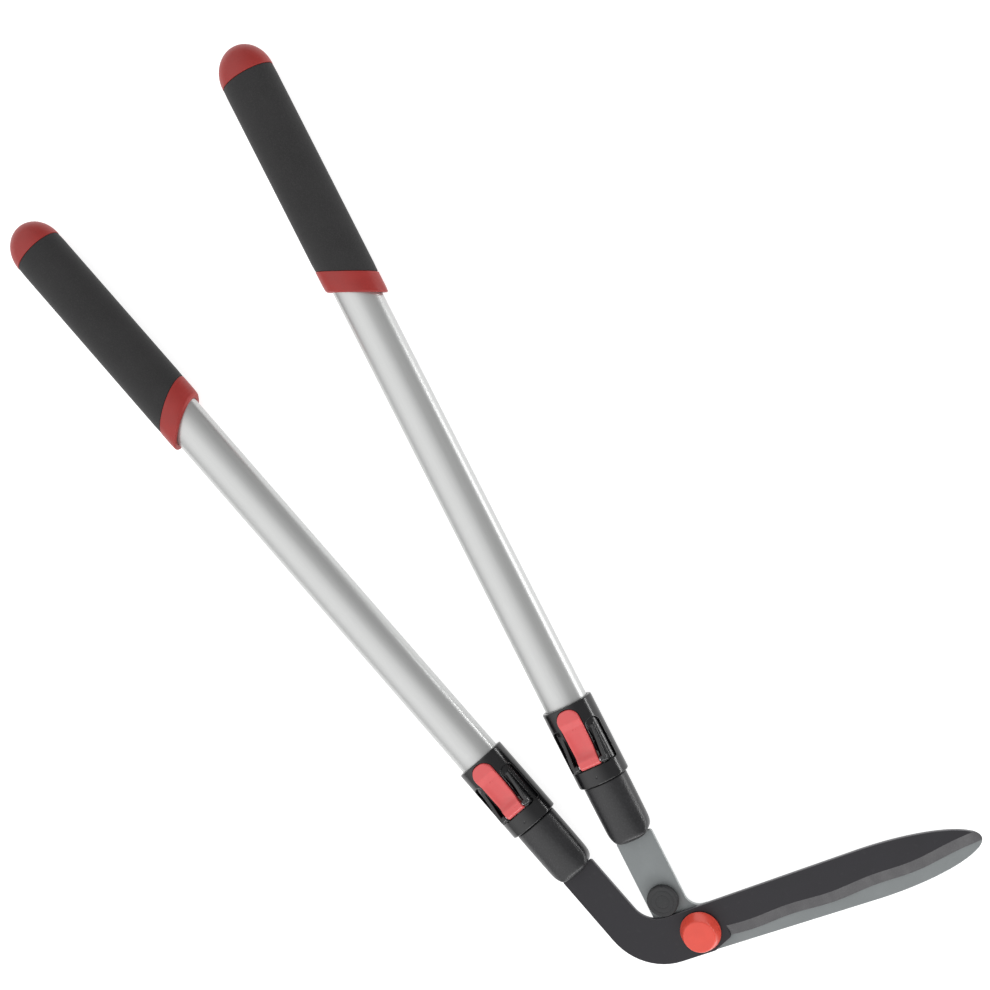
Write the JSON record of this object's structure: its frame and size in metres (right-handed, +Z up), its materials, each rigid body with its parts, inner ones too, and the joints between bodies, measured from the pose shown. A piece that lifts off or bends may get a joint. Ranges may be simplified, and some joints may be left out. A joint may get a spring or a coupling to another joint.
{
  "type": "telescopic garden shears",
  "caption": "Long-handled telescopic garden shears with angled wavy blades, clamp locks on oval tubes and soft grips, lying flat and closed.",
  "frame": {"origin": "on the pivot axis, on the flat underside of the pivot bolt's head", "axes": "+Z up the pivot towards the tension knob, +X from the pivot to the closed blades' tips, +Y the way the handles lead"},
  "size_m": [0.5632, 0.8462, 0.0418],
  "materials": {
    "black_coating": "satin black non-stick coating on steel",
    "grey_coating": "satin grey non-stick coating on steel",
    "steel": "zinc plated",
    "bronze": "sintered bronze",
    "tube_aluminium": "satin anodised, drawn along its length",
    "clamp_black": "polished moulded plastic",
    "socket_black": "fine spark-eroded texture",
    "grip_rubber": "soft, fine matte texture",
    "stop_rubber": "moulded, with faint turning rings",
    "lever_red": "semi-gloss moulded plastic",
    "grip_red": "satin moulded plastic",
    "knob_red": "semi-gloss moulded plastic",
    "nylon": "natural nylon"
  },
  "bodies": {
    "front_lever": {"front_blade": "black_coating", "pivot_bolt": "steel", "pivot_washer": "steel", "pivot_bush": "bronze", "spring_washer": "steel", "front_socket": "socket_black", "front_socket_pin": "steel", "front_inner_tube": "tube_aluminium", "front_guide_bush": "nylon"},
    "rear_lever": {"rear_blade": "grey_coating", "bumper": "stop_rubber", "bumper_stud": "steel", "rear_socket": "socket_black", "rear_socket_pin": "steel", "rear_inner_tube": "tube_aluminium", "rear_guide_bush": "nylon"},
    "tension_knob": {"pivot_knob": "knob_red", "knob_nut": "steel"},
    "front_handle": {"front_outer_tube": "tube_aluminium", "front_clamp": "clamp_black", "front_clamp_rivet": "steel", "front_lever_pin": "steel", "front_grip_core": "grip_red", "front_grip_sleeve": "grip_rubber"},
    "rear_handle": {"rear_outer_tube": "tube_aluminium", "rear_clamp": "clamp_black", "rear_clamp_rivet": "steel", "rear_lever_pin": "steel", "rear_grip_core": "grip_red", "rear_grip_sleeve": "grip_rubber"},
    "front_lock": {"front_lock_lever": "lever_red"},
    "rear_lock": {"rear_lock_lever": "lever_red"},
    "front_pad": {"front_brake_pad": "nylon"},
    "rear_pad": {"rear_brake_pad": "nylon"}
  },
  "joints": [
    {"name": "blade_pivot", "type": "hinge", "parent": "front_lever", "child": "rear_lever", "pos_m": [0, 0, 0.0093], "axis": [0, 0, -1], "range_deg": [0, 60]},
    {"name": "tension_knob_turn", "type": "hinge", "parent": "front_lever", "child": "tension_knob", "pos_m": [0, 0, 0.0153], "axis": [0, 0, 1], "continuous": true},
    {"name": "front_telescope", "type": "slide", "parent": "front_lever", "child": "front_handle", "axis": [-0.319, 0.9478, 0], "range_m": [0, 0.28]},
    {"name": "rear_telescope", "type": "slide", "parent": "rear_lever", "child": "rear_handle", "axis": [-0.0593, 0.9982, 0], "range_m": [0, 0.28]},
    {"name": "front_lock_flip", "type": "hinge", "parent": "front_handle", "child": "front_lock", "pos_m": [-0.10025, 0.14938, 0.0299], "axis": [0.9478, 0.319, 0], "range_deg": [0, 90]},
    {"name": "rear_lock_flip", "type": "hinge", "parent": "rear_handle", "child": "rear_lock", "pos_m": [-0.02574, 0.16307, 0.026], "axis": [0.9982, 0.0593, 0], "range_deg": [0, 90]},
    {"name": "front_pad_travel", "type": "slide", "parent": "front_handle", "child": "front_pad", "axis": [0, 0, 1], "range_m": [0, 0.0003]},
    {"name": "rear_pad_travel", "type": "slide", "parent": "rear_handle", "child": "rear_pad", "axis": [0, 0, 1], "range_m": [0, 0.0003]}
  ],
  "couplings": [
    {"joint": "front_pad_travel", "follows": "front_lock_flip", "m_per_rad": 0.000127},
    {"joint": "rear_pad_travel", "follows": "rear_lock_flip", "m_per_rad": 0.000127}
  ]
}
